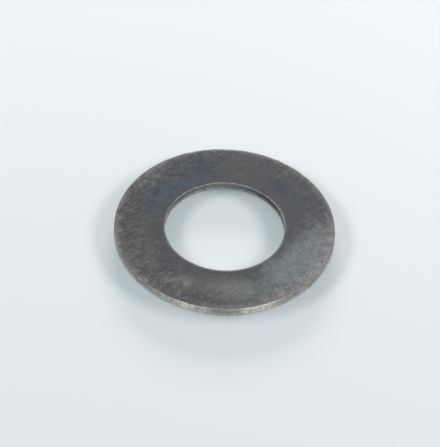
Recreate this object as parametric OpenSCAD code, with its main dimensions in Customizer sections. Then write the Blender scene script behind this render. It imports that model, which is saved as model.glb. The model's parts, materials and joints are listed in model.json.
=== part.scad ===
// Shim washer: a flat ring stamped from thin sheet steel.
// The origin is on the axis of the bore, at the lower face, with +Z up.

/* [Ring] */
// Diameter across the outside
outer_d = 24; // [18:0.5:40]
// Diameter of the bore, a clearance hole for a 12 mm screw
bore_d = 13; // [6:0.5:16]
// Thickness from the lower face to the upper face
thick = 1; // [0.6:0.1:3]

/* [Edges] */
// Radius of the rolled edge between the upper face and the rim
rim_roll = 0.2; // [0.05:0.01:0.4]
// Radius of the rolled edge between the upper face and the bore
bore_roll = 0.12; // [0.05:0.01:0.3]
// Bevel that breaks the lower edge of the rim
rim_bevel = 0.05; // [0.02:0.01:0.1]
// Bevel that breaks the lower edge of the bore
bore_bevel = 0.05; // [0.02:0.01:0.1]

/* [Hidden] */
$fn = 180;
outer_r = outer_d / 2;
bore_r = bore_d / 2;

// Half section of the ring, in the plane of the radius and the height
module section() {
    polygon([
        [bore_r + bore_bevel, 0],
        [outer_r - rim_bevel, 0],
        [outer_r, rim_bevel],
        [outer_r, thick - rim_roll],
        [outer_r - rim_roll, thick],
        [bore_r + bore_roll, thick],
        [bore_r, thick - bore_roll],
        [bore_r, bore_bevel]
    ]);
    translate([outer_r - rim_roll, thick - rim_roll]) circle(rim_roll);
    translate([bore_r + bore_roll, thick - bore_roll]) circle(bore_roll);
}

// The stamped ring
module washer() {
    color("dimgray") rotate_extrude() section();
}

washer();
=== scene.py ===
import json
import math
import bpy
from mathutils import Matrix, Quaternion, Vector


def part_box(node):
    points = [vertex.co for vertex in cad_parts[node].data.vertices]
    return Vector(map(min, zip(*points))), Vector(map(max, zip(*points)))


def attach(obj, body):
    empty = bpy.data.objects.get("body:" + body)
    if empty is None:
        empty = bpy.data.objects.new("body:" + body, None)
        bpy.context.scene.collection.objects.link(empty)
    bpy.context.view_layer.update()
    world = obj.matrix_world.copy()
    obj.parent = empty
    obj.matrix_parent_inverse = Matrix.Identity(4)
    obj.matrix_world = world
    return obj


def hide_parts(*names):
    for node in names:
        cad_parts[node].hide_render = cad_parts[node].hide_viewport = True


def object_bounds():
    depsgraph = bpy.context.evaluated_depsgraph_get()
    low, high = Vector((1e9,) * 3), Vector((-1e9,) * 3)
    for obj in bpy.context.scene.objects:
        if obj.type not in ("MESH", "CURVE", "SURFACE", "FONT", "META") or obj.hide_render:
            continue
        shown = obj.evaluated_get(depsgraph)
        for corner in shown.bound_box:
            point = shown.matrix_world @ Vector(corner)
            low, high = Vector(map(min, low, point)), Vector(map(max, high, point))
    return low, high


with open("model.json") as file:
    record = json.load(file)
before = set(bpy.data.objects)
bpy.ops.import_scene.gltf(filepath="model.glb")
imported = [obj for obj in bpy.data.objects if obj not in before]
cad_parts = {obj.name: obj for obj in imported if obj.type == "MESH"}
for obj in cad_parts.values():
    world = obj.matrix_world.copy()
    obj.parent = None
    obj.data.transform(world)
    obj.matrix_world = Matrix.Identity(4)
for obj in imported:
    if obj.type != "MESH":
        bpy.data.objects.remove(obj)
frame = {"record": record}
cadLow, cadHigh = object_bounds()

mm = 0.001


def feed(tree, socket, value):
    # another socket is linked, anything else is set
    if isinstance(value, bpy.types.NodeSocket):
        tree.links.new(value, socket)
    else:
        socket.default_value = value


def addNode(tree, kind, inputs=None, **settings):
    node = tree.nodes.new(kind)
    for name, value in settings.items():
        setattr(node, name, value)
    for key, value in (inputs or {}).items():
        feed(tree, node.inputs[key], value)
    return node


def addMath(tree, operation, *values, clamp=False):
    node = addNode(tree, "ShaderNodeMath", dict(enumerate(values)), operation=operation, use_clamp=clamp)
    return node.outputs[0]


def addProduct(tree, product, *factors):
    for factor in factors:
        product = addMath(tree, "MULTIPLY", product, factor)
    return product


def addVector(tree, operation, *values, scale=None):
    inputs = dict(enumerate(values))
    if scale is not None:
        inputs["Scale"] = scale
    node = addNode(tree, "ShaderNodeVectorMath", inputs, operation=operation)
    return node.outputs["Value" if operation in ("LENGTH", "DISTANCE") else "Vector"]


def scaleHeight(tree, place, factor):
    # a factor below 1 draws a pattern out upright, 0 keeps it the same at every height
    return addVector(tree, "MULTIPLY", place, (1.0, 1.0, factor))


def splitPlace(tree, place):
    return addNode(tree, "ShaderNodeSeparateXYZ", {0: place}).outputs


def smoothRamp(tree, value, low, high, toLow=0.0, toHigh=1.0):
    # low may be above high, then the ramp runs down
    node = addNode(tree, "ShaderNodeMapRange", {"Value": value, "From Min": low, "From Max": high,
                                               "To Min": toLow, "To Max": toHigh},
                   interpolation_type="SMOOTHSTEP")
    return node.outputs["Result"]


def mixValue(tree, factor, base, top):
    return addNode(tree, "ShaderNodeMix", {0: factor, 2: base, 3: top}).outputs[0]


def mixColour(tree, factor, base, top, blend="MIX"):
    node = addNode(tree, "ShaderNodeMix", {0: factor, 6: base, 7: top}, data_type="RGBA", blend_type=blend)
    return node.outputs[2]


def addNoise(tree, place, size, detail=3.0, roughness=0.6, seed=0.0):
    scale = addMath(tree, "DIVIDE", 1.0, size) if isinstance(size, bpy.types.NodeSocket) else 1 / size
    node = addNode(tree, "ShaderNodeTexNoise", {"Vector": place, "W": seed, "Scale": scale, "Detail": detail,
                                               "Roughness": roughness}, noise_dimensions="4D")
    return node.outputs["Fac"]


ringLook = {
    "sizes": {
        "Rim Roll": 0.20 * mm,       # radius of the rolled upper edge of the rim
        "Bore Roll": 0.12 * mm,
        "Rim Foot": 0.10 * mm,       # the lower edge of the rim, worn round
        "Lower Bevel": 0.05 * mm,    # the lower edge of the bore
        "Edge Steps": 6,             # steps round each edge
        "Segments": 1000,            # steps round the ring
        "Face Step": 0.14 * mm,      # mesh step across the upper face
        "Wall Step": 0.08 * mm,
        "Under Step": 0.60 * mm,
        "Shear Depth": 0.016 * mm,   # upright marks that the punch leaves
        "Shear Width": 0.30,         # mm, as are the other widths, waves, sizes and spacings without a unit
        "Torn Share": 0.34,          # how much of the wall is torn, counted from below
        "Torn Wave": 0.9,            # length of the waves in the torn zone's upper line
        "Torn Swing": 0.5,           # at most this from their lowest to their highest, as a share of the wall
        "Torn Depth": 0.030 * mm,
        "Crumb Size": 0.16,
        "Wave Depth": 0.010 * mm,    # slow unevenness of the faces
        "Wave Size": 3.0,
        "Pit Depth": 0.022 * mm,
        "Pit Spacing": 1.5,
        "Pit Reach": 0.13,           # radius of the largest pits, as a share of their spacing
        "Pitless Share": 0.45,       # how many of the places for a pit stay empty
        "Seed": 3.0,
    },
    "shearUpright": 0.10,            # below 1 drawn out upright
    # where each ramp from 0 to 1 starts and ends
    "shearByNoise": (0.30, 0.70),
    "tornByHeight": (0.04, -0.04),   # from the torn zone's upper line, as a share of the wall
    "tornByWall": (0.5, 0.9),
    "pitByDistance": (1.0, 0.2),     # from its middle, as a share of its radius
    "crumbLow": 0.3, "crumbHigh": 1.5,    # shallowest and deepest crumb, as shares of Torn Depth
}


def addSection(tree, given):
    # half section, a rectangle whose corners are rolled; the sweep turns it upside down
    width = addMath(tree, "SUBTRACT", given["Outer Radius"], given["Bore Radius"])
    section = addNode(tree, "GeometryNodeCurvePrimitiveQuadrilateral",
                      {"Width": width, "Height": given["Thickness"]})
    corner = addNode(tree, "GeometryNodeInputIndex").outputs[0]
    roll = 0.0
    for number, name in enumerate(("Rim Foot", "Lower Bevel", "Bore Roll", "Rim Roll")):
        isCorner = addMath(tree, "COMPARE", corner, number, 0.5)
        roll = addMath(tree, "MULTIPLY_ADD", isCorner, given[name], roll)
    rolled = addNode(tree, "GeometryNodeFilletCurve",
                     {"Curve": section.outputs[0], "Count": given["Edge Steps"], "Radius": roll}, mode="POLY")

    # points along the straight stretches, closer on the upper face and the walls
    place = addNode(tree, "GeometryNodeInputPosition").outputs[0]
    nextPoint = addNode(tree, "GeometryNodeOffsetPointInCurve", {"Offset": 1}).outputs["Point Index"]
    nextPlace = addNode(tree, "GeometryNodeFieldAtIndex", {"Index": nextPoint, "Value": place},
                        data_type="FLOAT_VECTOR", domain="POINT").outputs[0]
    stretch = addVector(tree, "DISTANCE", place, nextPlace)
    twiceHeight = splitPlace(tree, addVector(tree, "ADD", place, nextPlace))["Y"]
    edge = addMath(tree, "MULTIPLY", given["Thickness"], 0.98)    # a little inside the faces
    isUnder = addMath(tree, "GREATER_THAN", twiceHeight, edge)
    isFace = addMath(tree, "LESS_THAN", twiceHeight, addMath(tree, "MULTIPLY", edge, -1.0))
    step = mixValue(tree, isUnder, given["Wall Step"], given["Under Step"])
    step = mixValue(tree, isFace, step, given["Face Step"])
    cuts = addMath(tree, "FLOOR", addMath(tree, "DIVIDE", stretch, step))
    return addNode(tree, "GeometryNodeSubdivideCurve", {"Curve": rolled.outputs[0], "Cuts": cuts}).outputs[0]


def addRelief(tree, given, geometry):
    # the surface only ever moves inwards, so the ring stays inside its box
    metres = addNode(tree, "GeometryNodeInputPosition").outputs[0]
    place = addVector(tree, "SCALE", metres, scale=1 / mm)
    normal = addNode(tree, "GeometryNodeInputNormal").outputs[0]
    level = addMath(tree, "ABSOLUTE", splitPlace(tree, normal)["Z"])
    wall = addMath(tree, "SUBTRACT", 1.0, level, clamp=True)
    height = addMath(tree, "DIVIDE", splitPlace(tree, metres)["Z"], given["Thickness"])
    seed = given["Seed"]

    # upright marks on the walls, and under a wavy line the crumbled zone where the metal tore
    shear = addNoise(tree, scaleHeight(tree, place, ringLook["shearUpright"]), given["Shear Width"],
                     detail=3.0, roughness=0.65, seed=seed)
    shear = smoothRamp(tree, shear, *ringLook["shearByNoise"])
    lineWave = addNoise(tree, scaleHeight(tree, place, 0.0), given["Torn Wave"],
                        detail=4.0, roughness=0.65, seed=seed)
    swing = addMath(tree, "MULTIPLY", addMath(tree, "SUBTRACT", lineWave, 0.5), given["Torn Swing"])
    line = addMath(tree, "ADD", given["Torn Share"], swing)
    torn = smoothRamp(tree, addMath(tree, "SUBTRACT", height, line), *ringLook["tornByHeight"])
    torn = addMath(tree, "MULTIPLY", torn, smoothRamp(tree, wall, *ringLook["tornByWall"]))
    crumb = addNoise(tree, place, given["Crumb Size"], detail=3.0, roughness=0.7, seed=seed)
    crumb = addMath(tree, "MULTIPLY_ADD", crumb, ringLook["crumbHigh"] - ringLook["crumbLow"],
                    ringLook["crumbLow"])

    # slow waves and scattered pits on the faces
    wave = addNoise(tree, place, given["Wave Size"], detail=2.0, roughness=0.5, seed=seed)
    cellScale = addMath(tree, "DIVIDE", 1.0, given["Pit Spacing"])
    cell = addNode(tree, "ShaderNodeTexVoronoi", {"Vector": place, "Scale": cellScale}).outputs
    chance = splitPlace(tree, cell["Color"])["X"]
    reach = smoothRamp(tree, chance, given["Pitless Share"], 1.0, 0.0, given["Pit Reach"])
    away = addMath(tree, "DIVIDE", cell["Distance"], addMath(tree, "ADD", reach, 0.001))    # never by 0
    pit = smoothRamp(tree, away, *ringLook["pitByDistance"])

    shearPart = addProduct(tree, wall, shear, given["Shear Depth"])
    tornPart = addProduct(tree, torn, crumb, given["Torn Depth"])
    wavePart = addProduct(tree, wave, level, given["Wave Depth"])
    pitPart = addProduct(tree, pit, level, given["Pit Depth"])
    depth = addMath(tree, "ADD", addMath(tree, "ADD", shearPart, tornPart),
                    addMath(tree, "ADD", wavePart, pitPart))

    # the steel reads these to find the walls, the torn zone and the pits
    for name, value in (("wall", wall), ("torn", torn), ("pit", pit)):
        stored = addNode(tree, "GeometryNodeStoreNamedAttribute",
                         {"Geometry": geometry, "Name": name, "Value": value},
                         data_type="FLOAT", domain="POINT")
        geometry = stored.outputs[0]
    inwards = addVector(tree, "SCALE", normal, scale=addMath(tree, "MULTIPLY", depth, -1.0))
    return addNode(tree, "GeometryNodeSetPosition", {"Geometry": geometry, "Offset": inwards}).outputs[0]


def makeRingTree(sizes):
    tree = bpy.data.node_groups.new("washerRing", "GeometryNodeTree")
    for name, value in sizes.items():
        kind = "Material" if name == "Material" else "Int" if isinstance(value, int) else "Float"
        tree.interface.new_socket(name, in_out="INPUT", socket_type="NodeSocket" + kind)
    tree.interface.new_socket("Geometry", in_out="OUTPUT", socket_type="NodeSocketGeometry")
    given = tree.nodes.new("NodeGroupInput").outputs

    section = addSection(tree, given)
    middle = addMath(tree, "MULTIPLY", addMath(tree, "ADD", given["Outer Radius"], given["Bore Radius"]), 0.5)
    rail = addNode(tree, "GeometryNodeCurvePrimitiveCircle",
                   {"Resolution": given["Segments"], "Radius": middle}).outputs[0]
    swept = addNode(tree, "GeometryNodeCurveToMesh", {"Curve": rail, "Profile Curve": section}).outputs[0]
    halfThick = addMath(tree, "MULTIPLY", given["Thickness"], 0.5)
    lift = addNode(tree, "ShaderNodeCombineXYZ", {"Z": halfThick}).outputs[0]
    raised = addNode(tree, "GeometryNodeSetPosition", {"Geometry": swept, "Offset": lift}).outputs[0]
    worn = addRelief(tree, given, raised)

    real = addNode(tree, "GeometryNodeRealizeInstances", {0: worn}).outputs[0]
    smooth = addNode(tree, "GeometryNodeSetShadeSmooth", {"Geometry": real}).outputs[0]
    finished = addNode(tree, "GeometryNodeSetMaterial", {"Geometry": smooth, "Material": given["Material"]})
    addNode(tree, "NodeGroupOutput", {0: finished.outputs[0]})
    return tree


def makeRing(material):
    low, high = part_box("washer")
    bore = next(mount for mount in frame["record"]["mounts"] if mount["name"] == "bore")
    sizes = {"Outer Radius": high.x, "Bore Radius": bore["dims"]["r_mm"] * mm, "Thickness": high.z - low.z,
             **ringLook["sizes"], "Material": material}
    tree = makeRingTree(sizes)
    grower = bpy.data.objects.new("ringGrower", bpy.data.meshes.new("ringGrower"))
    bpy.context.scene.collection.objects.link(grower)
    modifier = grower.modifiers.new("ring", "NODES")
    modifier.node_group = tree
    for item in tree.interface.items_tree:
        if item.in_out == "INPUT":
            modifier[item.identifier] = sizes[item.name]
    evaluated = grower.evaluated_get(bpy.context.evaluated_depsgraph_get())
    mesh = bpy.data.meshes.new_from_object(evaluated)
    bpy.data.objects.remove(grower)
    ring = bpy.data.objects.new("steel_ring", mesh)
    bpy.context.scene.collection.objects.link(ring)
    print("ring:", len(mesh.vertices), "points,", len(mesh.polygons), "faces")
    return ring


def paint(code):
    # a web colour such as "5a5d60" as scene values
    parts = [int(code[i:i + 2], 16) / 255 for i in (0, 2, 4)]
    return [p / 12.92 if p <= 0.04045 else ((p + 0.055) / 1.055) ** 2.4 for p in parts] + [1.0]


def newGroup(name, inputs, outputs):
    group = bpy.data.node_groups.new(name, "ShaderNodeTree")
    for socketName, value in inputs.items():
        kind = "NodeSocketVector" if isinstance(value, tuple) else "NodeSocketFloat"
        socket = group.interface.new_socket(socketName, in_out="INPUT", socket_type=kind)
        socket.default_value = value
    for socketName in outputs:
        group.interface.new_socket(socketName, in_out="OUTPUT", socket_type="NodeSocketFloat")
    return group, group.nodes.new("NodeGroupInput").outputs


def putOutMask(group, given, noise):
    # the mask is where the noise is above Level; Edge is how soft its border is
    low = addMath(group, "SUBTRACT", given["Level"], given["Edge"])
    high = addMath(group, "ADD", given["Level"], given["Edge"])
    addNode(group, "NodeGroupOutput", {"Mask": smoothRamp(group, noise, low, high)})


def makeMottleGroup():
    # cloudy patches
    group, given = newGroup("mottle", {"Place": (0, 0, 0), "Size": 1.0, "Detail": 3.0, "Level": 0.5,
                                       "Edge": 0.1, "Seed": 0.0}, ["Mask"])
    noise = addNoise(group, given["Place"], given["Size"], given["Detail"], roughness=0.62,
                     seed=given["Seed"])
    putOutMask(group, given, noise)
    return group


def makeScratchGroup():
    # long thin flecks, all lying one way
    group, given = newGroup("scratches", {"Place": (0, 0, 0), "Turn": (0, 0, 0), "Length": 3.0, "Width": 0.1,
                                          "Level": 0.62, "Edge": 0.05, "Seed": 0.0}, ["Mask"])
    turned = addNode(group, "ShaderNodeVectorRotate", {"Vector": given["Place"], "Rotation": given["Turn"]},
                     rotation_type="EULER_XYZ").outputs[0]
    spread = addNode(group, "ShaderNodeCombineXYZ", {"X": given["Length"], "Y": given["Width"], "Z": 1.0})
    drawn = addVector(group, "DIVIDE", turned, spread.outputs[0])
    noise = addNoise(group, drawn, size=1.0, detail=2.0, roughness=0.5, seed=given["Seed"])
    putOutMask(group, given, noise)
    return group


def makePatchGroup():
    # one patch on the ring, set by its angle and radius; Skew slants it, Ragged breaks its border into flecks
    group, given = newGroup("patch", {"Angle": 0.0, "Radius": 9.0, "Fleck": 0.5, "At Angle": 0.0,
                                      "At Radius": 9.0, "Along": 1.0, "Across": 1.0, "Skew": 0.0,
                                      "Core": 0.3, "Ragged": 0.5}, ["Mask"])
    turn = addMath(group, "SUBTRACT", given["Angle"], given["At Angle"])
    turn = addMath(group, "WRAP", turn, math.pi, -math.pi)
    outwards = addMath(group, "SUBTRACT", given["Radius"], given["At Radius"])
    along = addMath(group, "MULTIPLY", turn, given["At Radius"])
    along = addMath(group, "MULTIPLY_ADD", outwards, given["Skew"], along)
    along = addMath(group, "DIVIDE", along, given["Along"])
    across = addMath(group, "DIVIDE", outwards, given["Across"])
    away = addMath(group, "SQRT", addMath(group, "ADD", addMath(group, "MULTIPLY", along, along),
                                          addMath(group, "MULTIPLY", across, across)))
    stir = addMath(group, "MULTIPLY", addMath(group, "SUBTRACT", given["Fleck"], 0.5), given["Ragged"])
    mask = smoothRamp(group, addMath(group, "ADD", away, stir), given["Core"], 1.0, 1.0, 0.0)
    addNode(group, "NodeGroupOutput", {"Mask": mask})
    return group


def useGroup(tree, group, **inputs):
    # inputs are given as words run together, atAngle stands for At Angle
    named = {"".join(" " + letter if letter.isupper() else letter for letter in key).title(): value
             for key, value in inputs.items()}
    return addNode(tree, "ShaderNodeGroup", named, node_tree=group).outputs[0]


# lengths without a unit are in mm; at is an angle, in degrees anticlockwise from the right as seen from
# above, and a radius
steelLook = {
    "colours": {
        # soot is also the colour of painted shade on the bore's wall
        "oxide": "535357", "warmOxide": "595755", "film": "686464", "soot": "454448", "specks": "898585",
        "tanFlecks": "aea69d", "margin": "9b9694", "scrape": "918c89", "pit": "3a383a",
        # the near-white rim colours are painted highlights and glints
        "rimFilm": "9f9b98", "rimBrown": "877d79", "bare": "cbc3bb", "polishedGlint": "fff5ec", "bright": "f2eee8",
        # the torn zone is real; its pale colour is partly a painted reflection of the floor
        "torn": "dadcda", "tornDull": "9e9c99",
        # the pale arris colour is partly worn bare steel and partly a painted highlight
        "arris": "c0b8b7", "arrisWorn": "9d9897", "boreFilm": "938e8d", "boreTorn": "c6c5c4",
        "boreTornDull": "989594",
    },
    "oxideMetallic": 0.5, "wallMetallic": 0.65, "tornMetallic": 0.85,
    "oxideRoughness": 0.42, "filmRoughness": 0.56, "wallRoughness": 0.46,
    "grainDepth": 0.003 * mm,

    # size, detail, roughness and seed of each noise
    "noises": {
        "fleck": (0.8, 5.0, 0.72, 4.0),
        "grain": (0.25, 3.0, 0.72, 7.0),
        "rimClouds": (0.5, 4.0, 0.7, 14.0),
        "tornClouds": (0.26, 4.0, 0.72, 15.0),
    },
    # a lower level covers more of the surface
    "patterns": {
        "clouds": {"size": 1.8, "detail": 4.0, "level": 0.5, "edge": 0.10, "seed": 1.0},
        "film": {"size": 0.6, "detail": 4.0, "level": 0.55, "edge": 0.08, "seed": 2.0},
        "soot": {"size": 0.30, "detail": 3.0, "level": 0.62, "edge": 0.05, "seed": 6.0},
        "specks": {"size": 0.34, "detail": 2.0, "level": 0.61, "edge": 0.09, "seed": 5.0},
        "tanFlecks": {"size": 0.32, "detail": 2.0, "level": 0.57, "edge": 0.05, "seed": 12.0},
        "streaks": {"size": 0.8, "detail": 4.0, "level": 0.5, "edge": 0.12, "seed": 9.0},
        "glints": {"size": 0.17, "detail": 2.0, "level": 0.49, "edge": 0.07, "seed": 11.0},
        "rubbed": {"turn": (0, 0, -0.5), "length": 1.3, "width": 0.55, "level": 0.5, "edge": 0.22,
                   "seed": 13.0},
        "scrape": {"turn": (0, 0, -0.7), "length": 2.4, "width": 0.09, "level": 0.66, "edge": 0.04,
                   "seed": 8.0},
    },
    "cloudShare": 0.7, "scrapeShare": 0.25, "pitShare": 0.7,
    "marginRagged": 0.8,      # how far flecks push the margin inwards
    "streaksUpright": 0.3, "glintsUpright": 0.6, "tornUpright": 0.6,    # below 1 drawn out upright
    # ramps: where each starts and ends, then its value at either end, or from 0 to 1
    "upperByHeight": (0.45, 0.55),
    "boreByRadius": (9.5, 9.0),
    "filmByRadius": (9.2, 11.8, 0.15, 0.75),
    "specksByRadius": (8.5, 11.8, 0.1, 0.6),
    "marginByRadius": (11.5, 12.6, 0.0, 0.55),
    "rubbedByRadius": (7.5, 9.5, 0.4, 1.0),
    "rubbedByClouds": (0.0, 1.0, 0.6, 1.3),
    "rubbedFromLeft": (-7.0, 2.0, 0.20, 0.06),
    "sootFromLeft": (-7.0, 2.0, 0.65, 0.42),
    # the painted floor reflection on the torn zone, full at the front and weaker towards the back
    "paintedReflectionFromFront": (-6.0, 8.0, 1.0, 0.35),
    "fleckByNoise": (0.3, 0.7),
    "rimByClouds": (0.38, 0.62),
    "shineByClouds": (0.35, 0.56),
    "grainTone": (0.25, 0.75, 0.80, 1.20),
    "frayedByFleck": (0.0, 1.0, 0.5, 1.6),
    "bareBySlope": (0.03, 0.30),
    "arrisByFleck": (0.3, 0.7),
    "arrisByHeight": (0.94, 0.85),
    # the belt where painted shade darkens the bore's wall
    "beltByHeight": (0.88, 0.68),          # the dark belt on the bore's wall
    "beltFootByHeight": (0.2, 0.5, 0.5, 1.0),

    # tan flecks stay in one zone, and the pale margin is quiet in another
    "tanZone": {"at": (322, 11.5), "along": 9.0, "across": 1.5, "strength": 0.6, "ragged": 0.6},
    "quietZone": {"at": (243, 11.7), "along": 8.0, "across": 1.6, "strength": 0.75, "ragged": 0.5},

    # along and across are half a mark's length and width, core is the part of it at full strength, gaps is
    # the pattern that breaks it and broken what it keeps there, and lowest is where it ends below; this is
    # what a mark has if it says nothing else
    "plainMark": {"skew": 0.0, "core": 0.0, "ragged": 0.35, "gaps": "streaks", "broken": 0.35,
                  "lowest": -1.0},
    "lowestEdge": 0.05,       # how soft the lower end is

    # patches of the upper face, later ones over earlier ones
    "patches": {
        "farSide": {"at": (85, 9.2), "along": 15.0, "across": 5.0, "colour": "5c5c5f", "strength": 0.45},
        # painted highlight along the far rolled edge
        "paintedHighlightFarEdge": {"at": (82, 11.97), "along": 14.0, "across": 0.42, "colour": "dcdce0", "strength": 1.0,
                    "ragged": 0.5, "core": 0.1},
        "slateFarRight": {"at": (27, 8.8), "along": 2.4, "across": 2.4, "colour": "4d525a", "strength": 0.6},
        "violetFarRight": {"at": (46, 8.4), "along": 2.0, "across": 2.4, "colour": "4a4e5d", "strength": 0.7},
        "violetTip": {"at": (36, 7.6), "along": 1.3, "across": 1.1, "colour": "585261", "strength": 0.4},
        "brownFarRight": {"at": (16, 9.4), "along": 1.2, "across": 1.6, "colour": "5a5656", "strength": 0.5},
        "coolFar": {"at": (66, 8.8), "along": 3.2, "across": 2.4, "colour": "4f5157", "strength": 0.5},
        "warmFar": {"at": (78, 10.2), "along": 4.4, "across": 2.0, "colour": "5f5d5e", "strength": 0.5,
                    "ragged": 1.2},
        "warmFarInner": {"at": (81, 7.6), "along": 1.6, "across": 1.2, "colour": "60605d", "strength": 0.5},
        "tanFar": {"at": (53, 10.9), "along": 0.7, "across": 0.6, "colour": "726f67", "strength": 0.55,
                   "ragged": 1.2},
        "blueFar": {"at": (110, 9.2), "along": 3.6, "across": 3.0, "colour": "49515b", "strength": 0.85},
        "purpleFar": {"at": (93, 10.0), "along": 1.4, "across": 2.0, "colour": "525059", "strength": 0.5},
        "slateFarLeft": {"at": (126, 9.6), "along": 1.6, "across": 2.0, "colour": "4f5357", "strength": 0.7},
        "blueTip": {"at": (126, 7.4), "along": 2.6, "across": 1.5, "colour": "4e5a64", "strength": 0.8},
        "blueLeft": {"at": (146, 8.5), "along": 3.2, "across": 2.7, "colour": "4b5762", "strength": 0.85},
        "blueLeftInner": {"at": (161, 7.7), "along": 2.6, "across": 1.8, "colour": "4c5661", "strength": 0.8},
        "tanFarLeft": {"at": (141, 10.8), "along": 2.4, "across": 1.2, "colour": "6f6e6c", "strength": 0.8,
                       "ragged": 0.8},
        "paleFarLeft": {"at": (135, 11.6), "along": 1.8, "across": 0.5, "colour": "8c8b8a", "strength": 0.8,
                        "ragged": 0.8},
        "duskLeft": {"at": (172, 11.6), "along": 2.8, "across": 0.8, "colour": "4a494a", "strength": 0.6,
                     "ragged": 0.8},
        "brownLeft": {"at": (163, 10.0), "along": 1.6, "across": 1.2, "colour": "555151", "strength": 0.6},
        "slateLeft": {"at": (171, 7.6), "along": 1.6, "across": 1.3, "colour": "4f565a", "strength": 0.6},
        "warmLeft": {"at": (182, 9.0), "along": 3.4, "across": 2.2, "colour": "5b5856", "strength": 0.5,
                     "ragged": 0.9},
        "oliveNearLeft": {"at": (208, 9.9), "along": 3.2, "across": 2.2, "colour": "65645b", "strength": 0.75,
                          "ragged": 1.4},
        "oliveStreak": {"at": (233, 10.0), "along": 1.2, "across": 2.2, "skew": 0.4, "colour": "686560",
                        "strength": 0.7, "ragged": 1.0},
        "oliveFoot": {"at": (241, 10.9), "along": 1.9, "across": 0.9, "colour": "65635c", "strength": 0.6,
                      "ragged": 0.8},
        "scuffSide": {"at": (240.5, 9.4), "along": 1.7, "across": 1.6, "skew": 0.9, "colour": "7a7a76",
                      "strength": 0.85},
        "greyNear": {"at": (256, 9.0), "along": 3.6, "across": 2.6, "colour": "666764", "strength": 0.75},
        "violetNear": {"at": (253, 10.9), "along": 1.1, "across": 0.9, "colour": "4f4c56", "strength": 0.85},
        "scuff": {"at": (248, 9.4), "along": 0.7, "across": 1.2, "skew": 0.2, "colour": "878682",
                  "strength": 0.7},
        "scuffFoot": {"at": (246.5, 11.0), "along": 0.35, "across": 0.7, "colour": "7d7a75", "strength": 0.7},
        "paleNear": {"at": (280, 9.4), "along": 3.8, "across": 2.5, "skew": -0.40, "colour": "777977",
                     "strength": 0.95, "core": 0.2},
        "paleRight": {"at": (329, 9.8), "along": 8.6, "across": 3.5, "colour": "7c8284", "strength": 1.0,
                      "core": 0.3},
        "paleFarRight": {"at": (354, 10.9), "along": 3.4, "across": 2.4, "skew": -0.50, "colour": "7e8283",
                         "strength": 0.8, "core": 0.1},
        "tealRight": {"at": (317, 8.2), "along": 3.4, "across": 2.0, "colour": "7b8b89", "strength": 0.5},
        "brownGap": {"at": (295, 8.6), "along": 0.6, "across": 1.6, "colour": "666564", "strength": 0.4,
                     "ragged": 1.0},
        "lilacRight": {"at": (334, 10.8), "along": 5.6, "across": 1.4, "colour": "87878b", "strength": 0.7,
                       "ragged": 0.8},
        "paleMargin": {"at": (334, 11.6), "along": 8.2, "across": 1.0, "colour": "949391", "strength": 0.9,
                       "ragged": 1.2},
        "tanMargin": {"at": (304, 11.3), "along": 2.6, "across": 0.8, "colour": "918881", "strength": 0.7,
                      "ragged": 1.4},
        "redMargin": {"at": (278, 11.6), "along": 3.0, "across": 0.36, "colour": "7c696b", "strength": 0.9,
                      "ragged": 0.9},
        "oliveMargin": {"at": (291, 11.1), "along": 3.4, "across": 0.9, "colour": "6c6964", "strength": 0.5,
                        "ragged": 1.2},
        "tanSpot": {"at": (303, 10.8), "along": 0.4, "across": 0.7, "colour": "948b84", "strength": 0.6},
        "rustSpot": {"at": (235, 11.6), "along": 0.4, "across": 0.3, "colour": "785f50", "strength": 0.7},
        "darkStreak": {"at": (238, 8.8), "along": 0.5, "across": 1.9, "skew": 0.86, "colour": "4b4a4b",
                       "strength": 0.6},
        "pitRight": {"at": (322.5, 9.0), "along": 0.2, "across": 0.18, "colour": "3a393b", "strength": 0.9,
                     "ragged": 0.0},
        "pitFarRight": {"at": (336, 9.0), "along": 0.15, "across": 0.15, "colour": "3a393b", "strength": 0.8,
                        "ragged": 0.0},
        "pitNear": {"at": (291, 8.2), "along": 0.18, "across": 0.16, "colour": "3a393b", "strength": 0.8,
                    "ragged": 0.0},
        "pitInner": {"at": (312, 7.3), "along": 0.16, "across": 0.16, "colour": "3a393b", "strength": 0.7,
                     "ragged": 0.0},
        "boreEdge": {"at": (15, 6.6), "along": 5.0, "across": 0.3, "colour": "8f8987", "strength": 0.45,
                     "ragged": 0.4},
        # painted highlight on the near rolled edge of the bore
        "paintedHighlightBoreEdgeNear": {"at": (275, 6.62), "along": 15.0, "across": 0.19, "colour": "a39d9b",
                         "strength": 0.52, "ragged": 0.3, "core": 0.4},
        "darkWedge": {"at": (351, 7.0), "along": 1.7, "across": 1.3, "colour": "56565a", "strength": 0.9,
                      "core": 0.1},
    },

    # the rim is rubbed bare towards the front, and bright in three places: a painted highlight along the far
    # edge, and two stretches of polished wear with painted glints near the front
    "rimMarks": {
        "bareFront": {"at": (272, 12.0), "along": 11.0, "across": 4.0, "colour": "bare", "strength": 1.0,
                      "core": 0.4},
        "bareRight": {"at": (331, 12.0), "along": 3.4, "across": 4.0, "colour": "bare", "strength": 0.25},
        "filmFront": {"at": (270, 12.0), "along": 2.0, "across": 4.0, "colour": "rimBrown", "strength": 0.6,
                      "lowest": 0.3},
        "paintedHighlightFarRim": {"at": (90, 12.0), "along": 15.0, "across": 3.0, "colour": "bright", "strength": 0.85,
                      "lowest": 0.8, "broken": 0.85},
        "brightNearLeft": {"at": (253, 12.0), "along": 2.9, "across": 3.0, "colour": "polishedGlint",
                           "strength": 0.85, "ragged": 0.8, "gaps": "glints"},
        "brightNearRight": {"at": (290, 12.0), "along": 2.4, "across": 3.0, "colour": "polishedGlint",
                            "strength": 0.9, "ragged": 0.8, "core": 0.3, "gaps": "glints"},
    },

    # the bore's wall is darker in two places: painted shade, in the soot colour, on a belt below its arris
    "boreMarks": {
        "paintedShadeRight": {"at": (40, 6.5), "along": 5.8, "across": 2.0, "colour": "soot", "strength": 0.95},
        "paintedShadeLeft": {"at": (142, 6.5), "along": 3.2, "across": 2.0, "colour": "soot", "strength": 0.36},
    },
}


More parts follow.
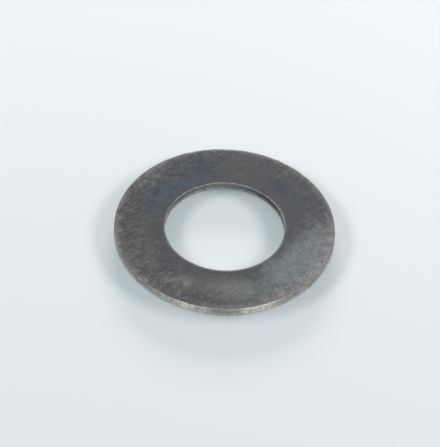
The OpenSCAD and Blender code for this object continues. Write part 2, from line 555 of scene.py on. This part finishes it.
def makeSteel():
    look = steelLook
    shade = {name: paint(code) for name, code in look["colours"].items()}
    material = bpy.data.materials.new("oxidisedSteel")
    material.use_nodes = True
    tree = material.node_tree
    mottle, scratches, patch = makeMottleGroup(), makeScratchGroup(), makePatchGroup()

    place = addVector(tree, "SCALE", addNode(tree, "ShaderNodeTexCoord").outputs["Object"], scale=1 / mm)
    across, away, height = splitPlace(tree, place)
    angle = addMath(tree, "ARCTAN2", away, across)
    radius = addVector(tree, "LENGTH", scaleHeight(tree, place, 0.0))
    wall, torn, pit = (addNode(tree, "ShaderNodeAttribute", attribute_name=name).outputs["Fac"]
                       for name in ("wall", "torn", "pit"))
    isUpper = smoothRamp(tree, height, *look["upperByHeight"])
    onBore = smoothRamp(tree, radius, *look["boreByRadius"])
    fleck = smoothRamp(tree, addNoise(tree, place, *look["noises"]["fleck"]), *look["fleckByNoise"])

    def addPatch(mark):
        mark = {**look["plainMark"], **mark}
        atAngle, atRadius = mark["at"]
        mask = useGroup(tree, patch, angle=angle, radius=radius, fleck=fleck, atAngle=math.radians(atAngle),
                        atRadius=atRadius, along=mark["along"], across=mark["across"], skew=mark["skew"],
                        core=mark["core"], ragged=mark["ragged"])
        return addMath(tree, "MULTIPLY", mask, mark["strength"])

    def addPattern(name, drawnPlace=place):
        pattern = look["patterns"][name]
        return useGroup(tree, scratches if "turn" in pattern else mottle, place=drawnPlace, **pattern)

    # the face: dark oxide with warm clouds, then the patches, then brown film, soot, flecks and grain
    clouds = addPattern("clouds")
    colour = mixColour(tree, addProduct(tree, clouds, look["cloudShare"]), shade["oxide"], shade["warmOxide"])
    # some of the patches are painted highlights along rolled edges
    for mark in look["patches"].values():
        colour = mixColour(tree, addProduct(tree, addPatch(mark), isUpper), colour, paint(mark["colour"]))

    film = addProduct(tree, addPattern("film"), smoothRamp(tree, radius, *look["filmByRadius"]))
    soot = addProduct(tree, addPattern("soot"), smoothRamp(tree, across, *look["sootFromLeft"]))
    specks = addProduct(tree, addPattern("specks"), smoothRamp(tree, radius, *look["specksByRadius"]))
    tanFlecks = addProduct(tree, addPattern("tanFlecks"), addPatch(look["tanZone"]))
    raggedRadius = addMath(tree, "MULTIPLY_ADD", fleck, look["marginRagged"], radius)
    margin = smoothRamp(tree, raggedRadius, *look["marginByRadius"])
    margin = addProduct(tree, margin, addMath(tree, "SUBTRACT", 1.0, addPatch(look["quietZone"])))
    for name, mask in (("film", film), ("soot", soot), ("specks", specks), ("tanFlecks", tanFlecks),
                       ("margin", margin)):
        colour = mixColour(tree, mask, colour, shade[name])
    grain = addNoise(tree, place, *look["noises"]["grain"])
    colour = mixColour(tree, 1.0, colour, smoothRamp(tree, grain, *look["grainTone"]), "MULTIPLY")

    # soft streaks that darken and lighten, strongest on the left, then fine scrapes and the pits
    rubbed = smoothRamp(tree, addPattern("rubbed"), 0.0, 1.0, -1.0, 1.0)
    rubbedShare = addProduct(tree, smoothRamp(tree, across, *look["rubbedFromLeft"]),
                             smoothRamp(tree, radius, *look["rubbedByRadius"]),
                             smoothRamp(tree, clouds, *look["rubbedByClouds"]))
    rubbedTone = addMath(tree, "MULTIPLY_ADD", rubbed, rubbedShare, 1.0)
    colour = mixColour(tree, 1.0, colour, rubbedTone, "MULTIPLY")
    for name, mask in (("scrape", addPattern("scrape")), ("pit", pit)):
        colour = mixColour(tree, addProduct(tree, mask, look[name + "Share"]), colour, shade[name])

    # the rim: a brown film with bare stretches and painted highlights, above a torn zone of dull and pale
    # metal whose paleness is partly a painted reflection of the floor, strongest at the front
    tornPlace = scaleHeight(tree, place, look["tornUpright"])
    tornShine = smoothRamp(tree, addNoise(tree, tornPlace, *look["noises"]["tornClouds"]),
                           *look["shineByClouds"])
    tornTone = mixColour(tree, tornShine, shade["tornDull"], shade["torn"])
    tornAndPaintedReflection = addProduct(tree, torn, smoothRamp(tree, away, *look["paintedReflectionFromFront"]))
    rimClouds = smoothRamp(tree, addNoise(tree, place, *look["noises"]["rimClouds"]), *look["rimByClouds"])
    rimTone = mixColour(tree, rimClouds, shade["rimBrown"], shade["rimFilm"])
    rimColour = mixColour(tree, tornAndPaintedReflection, rimTone, tornTone)
    gaps = {name: addPattern(name, scaleHeight(tree, place, look[name + "Upright"]))
            for name in ("streaks", "glints")}
    for mark in look["rimMarks"].values():
        mark = {**look["plainMark"], **mark}
        broken = smoothRamp(tree, gaps[mark["gaps"]], 0.0, 1.0, 1.0, mark["broken"])
        above = smoothRamp(tree, height, mark["lowest"] - look["lowestEdge"],
                           mark["lowest"] + look["lowestEdge"])
        mask = addProduct(tree, addPatch(mark), broken, above)
        rimColour = mixColour(tree, mask, rimColour, shade[mark["colour"]])

    # the bore: a pale arris, partly worn bare and partly a painted highlight, a dark film with a belt of
    # painted shade, and the torn zone
    boreTorn = mixColour(tree, tornShine, shade["boreTornDull"], shade["boreTorn"])
    boreColour = mixColour(tree, torn, shade["boreFilm"], boreTorn)
    shadeBelt = addProduct(tree, smoothRamp(tree, height, *look["beltByHeight"]),
                      smoothRamp(tree, height, *look["beltFootByHeight"]))
    for mark in look["boreMarks"].values():
        mask = addProduct(tree, addPatch(mark), shadeBelt)
        boreColour = mixColour(tree, mask, boreColour, shade[mark["colour"]])
    belowArris = addProduct(tree, onBore, smoothRamp(tree, height, *look["arrisByHeight"]))
    arrisTone = smoothRamp(tree, fleck, *look["arrisByFleck"])
    arris = mixColour(tree, arrisTone, shade["arrisWorn"], shade["arris"])
    boreColour = mixColour(tree, belowArris, arris, boreColour)

    # the oxide frays away where a face rolls over into a wall
    frayed = addProduct(tree, wall, smoothRamp(tree, fleck, *look["frayedByFleck"]))
    bareEdge = smoothRamp(tree, frayed, *look["bareBySlope"])
    colour = mixColour(tree, bareEdge, colour, mixColour(tree, onBore, rimColour, boreColour))
    dull = addMath(tree, "MAXIMUM", torn, onBore)
    wallMetallic = smoothRamp(tree, dull, 0.0, 1.0, look["wallMetallic"], look["tornMetallic"])
    wallRoughness = smoothRamp(tree, dull, 0.0, 1.0, look["wallRoughness"], look["filmRoughness"])
    faceRoughness = smoothRamp(tree, film, 0.0, 1.0, look["oxideRoughness"], look["filmRoughness"])
    bump = addNode(tree, "ShaderNodeBump", {"Height": grain, "Distance": look["grainDepth"], "Strength": 1.0})
    shader = tree.nodes["Principled BSDF"]
    feed(tree, shader.inputs["Base Color"], colour)
    feed(tree, shader.inputs["Metallic"], mixValue(tree, bareEdge, look["oxideMetallic"], wallMetallic))
    feed(tree, shader.inputs["Roughness"], mixValue(tree, bareEdge, faceRoughness, wallRoughness))
    feed(tree, shader.inputs["Normal"], bump.outputs[0])
    print("steel:", len(tree.nodes), "nodes,", len(look["patches"]), "patches")
    return material


def isSeen(tree):
    # what the camera, the metal and clear things look at, but not what lights the surfaces
    ray = addNode(tree, "ShaderNodeLightPath").outputs
    seen = addMath(tree, "ADD", ray["Is Camera Ray"], ray["Is Glossy Ray"])
    return addMath(tree, "ADD", seen, ray["Is Transmission Ray"], clamp=True)


floorLook = {
    "colour": (0.855, 0.89, 0.91, 1), "roughness": 0.8, "gloss": 0.0,
    "reach": 20.0, "gap": 0.01 * mm,      # half the floor's width, and how far it lies below the ring
    "farColour": (0.80, 0.84, 0.865, 1), "fadeFrom": 40.0 * mm, "fadeTo": 90.0 * mm,
}


def makeFloor():
    mesh = bpy.data.meshes.new("floor")
    reach, under = floorLook["reach"], -floorLook["gap"]
    corners = [(-reach, -reach, under), (reach, -reach, under), (reach, reach, under), (-reach, reach, under)]
    mesh.from_pydata(corners, [], [(0, 1, 2, 3)])
    floor = bpy.data.objects.new("floor", mesh)
    bpy.context.scene.collection.objects.link(floor)
    material = bpy.data.materials.new("paleBoard")
    material.use_nodes = True
    tree = material.node_tree
    shader = tree.nodes["Principled BSDF"]
    shader.inputs["Base Color"].default_value = floorLook["colour"]
    shader.inputs["Roughness"].default_value = floorLook["roughness"]
    shader.inputs["Specular IOR Level"].default_value = floorLook["gloss"]
    # far from the object the floor shows one pale colour, close to it the light and the shadow
    away = addVector(tree, "LENGTH", addNode(tree, "ShaderNodeTexCoord").outputs["Object"])
    far = smoothRamp(tree, away, floorLook["fadeFrom"], floorLook["fadeTo"])
    glow = addNode(tree, "ShaderNodeEmission", {"Color": floorLook["farColour"]}).outputs[0]
    mixed = addNode(tree, "ShaderNodeMixShader", {0: addProduct(tree, far, isSeen(tree)),
                                                 1: shader.outputs[0], 2: glow})
    tree.links.new(mixed.outputs[0], tree.nodes["Material Output"].inputs["Surface"])
    mesh.materials.append(material)
    print("floor:", 2 * reach, "m wide")


# azimuth runs anticlockwise from the right, height is above the floor, both in degrees
# share is the part of the floor's light that the box gives, the world gives the rest
softboxes = {
    "right": {"azimuth": 15, "height": 22, "share": 0.262, "distance": 0.30, "width": 0.24, "tall": 0.06},
    "left": {"azimuth": 168, "height": 24, "share": 0.230, "distance": 0.40, "width": 0.30, "tall": 0.08},
    "back": {"azimuth": 90, "height": 8, "share": 0.189, "distance": 0.40, "width": 0.18, "tall": 0.04},
}
boxColour = (1.0, 0.846, 0.841)


def addSoftboxes():
    for name, box in softboxes.items():
        azimuth, height = math.radians(box["azimuth"]), math.radians(box["height"])
        towards = Vector((math.cos(azimuth) * math.cos(height), math.sin(azimuth) * math.cos(height),
                          math.sin(height)))
        light = bpy.data.lights.new(name + "Softbox", "AREA")
        light.shape = "RECTANGLE"
        light.color = boxColour
        light.size, light.size_y = box["width"], box["tall"]
        light.energy = box["share"] * (math.pi * box["distance"]) ** 2 / math.sin(height)
        lamp = bpy.data.objects.new(light.name, light)
        lamp.location = towards * box["distance"]
        lamp.rotation_euler = towards.to_track_quat("Z", "Y").to_euler()
        lamp.visible_camera = False
        lamp.visible_glossy = False
        bpy.context.scene.collection.objects.link(lamp)
    print("softboxes:", len(softboxes))


# the backdrop is what the camera and the metal see, the light is what falls on the surfaces
worldLook = {"light": (0.318, 0.427, 0.433, 1), "backdrop": (0.82, 0.86, 0.88, 1)}


def makeWorld():
    world = bpy.data.worlds.new("studio")
    world.use_nodes = True
    tree = world.node_tree
    colour = mixColour(tree, isSeen(tree), worldLook["light"], worldLook["backdrop"])
    tree.links.new(colour, tree.nodes["Background"].inputs["Color"])
    bpy.context.scene.world = world
    print("world:", world.name)


cameraPlan = {
    "distance": 204 * mm, "elevation": 46.5, "roll": 2.8, "lens": 151.6,
    "aimAside": -0.51 * mm, "aimUp": 0.205 * mm,    # from the middle of the upper face
}


def addCamera():
    target = Vector((0, 0, cadHigh.z))
    elevation = math.radians(cameraPlan["elevation"])
    back = Vector((0, -math.cos(elevation), math.sin(elevation)))
    rolled = back.to_track_quat("Z", "Y") @ Quaternion((0, 0, 1), math.radians(cameraPlan["roll"]))
    place = target + back * cameraPlan["distance"]
    aim = target + rolled @ Vector((cameraPlan["aimAside"], cameraPlan["aimUp"], 0))
    turn = (place - target).rotation_difference(place - aim)
    data = bpy.data.cameras.new("camera")
    data.lens = cameraPlan["lens"]
    camera = bpy.data.objects.new("camera", data)
    camera.location = place
    camera.rotation_euler = (turn @ rolled).to_euler()
    bpy.context.scene.collection.objects.link(camera)
    bpy.context.scene.camera = camera
    print("camera:", data.lens, "mm lens,", cameraPlan["elevation"], "degrees up")


bpy.context.scene.view_settings.view_transform = "Standard"
addCamera()
makeWorld()
addSoftboxes()
makeFloor()
steel = makeSteel()
ring = makeRing(steel)
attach(ring, "root")
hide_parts("washer")
